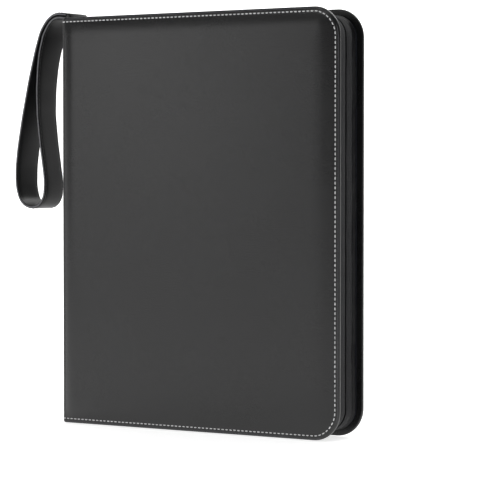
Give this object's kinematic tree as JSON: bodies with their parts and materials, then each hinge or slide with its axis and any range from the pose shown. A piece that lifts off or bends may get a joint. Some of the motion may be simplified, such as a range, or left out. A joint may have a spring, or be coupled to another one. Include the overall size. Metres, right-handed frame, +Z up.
{
  "type": "coin album",
  "caption": "Zip-round padded coin album with a three-ring mechanism, clear pocket pages of coins and a hand strap.",
  "frame": {"origin": "middle of the spine's bottom edge, at mid-thickness of the spine panel, where the closed album stands", "axes": "+X from the spine to the fore edge, -Y towards the front cover, +Z up along the spine"},
  "size_m": [0.3203, 0.042, 0.3407],
  "materials": {
    "black_leather": "smooth black synthetic leather, satin",
    "foam": "thin soft foam",
    "board": "grey bookbinding board",
    "lining": "matt black-navy lining cloth",
    "zip_tape": "woven black zip tape",
    "zip_coil": "black nylon coil",
    "black_metal": "gloss black enamel",
    "ring_chrome": "bright chrome plate",
    "page_film": "clear pocket film with weld lines",
    "coin_silver": "bright silver-coloured coin metal"
  },
  "bodies": {
    "back_cover": {"back_cover_skin": "black_leather", "back_cover_foam": "foam", "back_cover_board": "board", "back_cover_lining": "lining", "back_gusset": "black_leather", "back_zip_tape": "zip_tape", "back_zip_coil": "zip_coil"},
    "spine": {"spine_skin": "black_leather", "spine_board": "board", "spine_lining": "lining", "front_fold_strip": "black_leather", "back_fold_strip": "black_leather", "zip_tail_top": "zip_tape", "zip_tail_bottom": "zip_tape", "strap_anchor": "black_leather", "ring_cover_plate": "black_metal", "ring_rivets": "ring_chrome"},
    "front_cover": {"front_cover_skin": "black_leather", "front_cover_foam": "foam", "front_cover_board": "board", "front_cover_lining": "lining", "front_gusset": "black_leather", "front_zip_tape": "zip_tape", "front_zip_coil": "zip_coil"},
    "front_ring_half": {"front_hinge_plate": "black_metal", "front_half_rings": "ring_chrome"},
    "back_ring_half": {"back_hinge_plate": "black_metal", "back_half_rings": "ring_chrome"},
    "front_margins": {"front_page_1_margin": "page_film", "front_page_2_margin": "page_film", "front_page_3_margin": "page_film"},
    "back_margins": {"coin_page_margin": "page_film", "back_page_2_margin": "page_film", "back_page_3_margin": "page_film"},
    "front_panels": {"front_page_1_panel": "page_film", "front_page_2_panel": "page_film", "front_page_3_panel": "page_film"},
    "back_panels": {"coin_page_front_film": "page_film", "coin_page_back_film": "page_film", "coin_page_welds": "page_film", "back_page_2_panel": "page_film", "back_page_3_panel": "page_film", "coins_row_1": "coin_silver", "coins_row_2": "coin_silver", "coins_row_3": "coin_silver", "coins_row_4": "coin_silver", "coins_row_5": "coin_silver", "coins_row_6": "coin_silver"},
    "top_lever": {"top_lever": "black_metal"},
    "bottom_lever": {"bottom_lever": "black_metal"},
    "zip_slider": {"zip_slider": "black_metal"},
    "zip_pull": {"zip_pull": "black_metal"},
    "strap": {"strap": "black_leather"}
  },
  "joints": [
    {"name": "spine_hinge", "type": "hinge", "parent": "back_cover", "child": "spine", "pos_m": [-0.00114, 0.02014, 0.1675], "axis": [0, 0, -1], "range_deg": [0, 90]},
    {"name": "front_cover_hinge", "type": "hinge", "parent": "spine", "child": "front_cover", "pos_m": [-0.00114, -0.02014, 0.1675], "axis": [0, 0, -1], "range_deg": [0, 90]},
    {"name": "front_ring_open", "type": "hinge", "parent": "spine", "child": "front_ring_half", "pos_m": [0.0041, -0.013, 0.1675], "axis": [0, 0, -1], "range_deg": [0, 8]},
    {"name": "back_ring_open", "type": "hinge", "parent": "spine", "child": "back_ring_half", "pos_m": [0.0041, 0.013, 0.1675], "axis": [0, 0, 1], "range_deg": [0, 8]},
    {"name": "top_lever_tilt", "type": "hinge", "parent": "spine", "child": "top_lever", "pos_m": [0.007, 0, 0.3143], "axis": [0, -1, 0], "range_deg": [0, 40]},
    {"name": "bottom_lever_tilt", "type": "hinge", "parent": "spine", "child": "bottom_lever", "pos_m": [0.007, 0, 0.0207], "axis": [0, 1, 0], "range_deg": [0, 40]},
    {"name": "front_pages_turn", "type": "hinge", "parent": "front_ring_half", "child": "front_margins", "pos_m": [0.019, 0, 0.1675], "axis": [0, 0, -1], "range_deg": [0, 90]},
    {"name": "back_pages_turn", "type": "hinge", "parent": "back_ring_half", "child": "back_margins", "pos_m": [0.019, 0, 0.1675], "axis": [0, 0, 1], "range_deg": [0, 90]},
    {"name": "front_pages_fold", "type": "hinge", "parent": "front_margins", "child": "front_panels", "pos_m": [0.03878, -0.0024, 0.1675], "axis": [0, 0, 1], "range_deg": [0, 8]},
    {"name": "back_pages_fold", "type": "hinge", "parent": "back_margins", "child": "back_panels", "pos_m": [0.03855, 0.0034, 0.1675], "axis": [0, 0, -1], "range_deg": [0, 8]},
    {"name": "zip_slide", "type": "slide", "parent": "back_cover", "child": "zip_slider", "axis": [1, 0, 0], "range_m": [0, 0.19]},
    {"name": "zip_pull_tilt", "type": "hinge", "parent": "zip_slider", "child": "zip_pull", "pos_m": [0.045, 0, 0.3325], "axis": [0, -1, 0], "range_deg": [0, 170]},
    {"name": "strap_swing", "type": "hinge", "parent": "spine", "child": "strap", "pos_m": [-0.002, 0, 0.3393], "axis": [0, 1, 0], "range_deg": [0, 150]}
  ],
  "couplings": [
    {"joint": "back_ring_open", "follows": "front_ring_open", "ratio": 1},
    {"joint": "top_lever_tilt", "follows": "front_ring_open", "ratio": 5},
    {"joint": "bottom_lever_tilt", "follows": "front_ring_open", "ratio": 5},
    {"joint": "front_pages_fold", "follows": "front_ring_open", "ratio": 1},
    {"joint": "back_pages_fold", "follows": "front_ring_open", "ratio": 1},
    {"joint": "front_pages_turn", "follows": "front_cover_hinge", "ratio": 1},
    {"joint": "back_pages_turn", "follows": "spine_hinge", "ratio": 1}
  ]
}
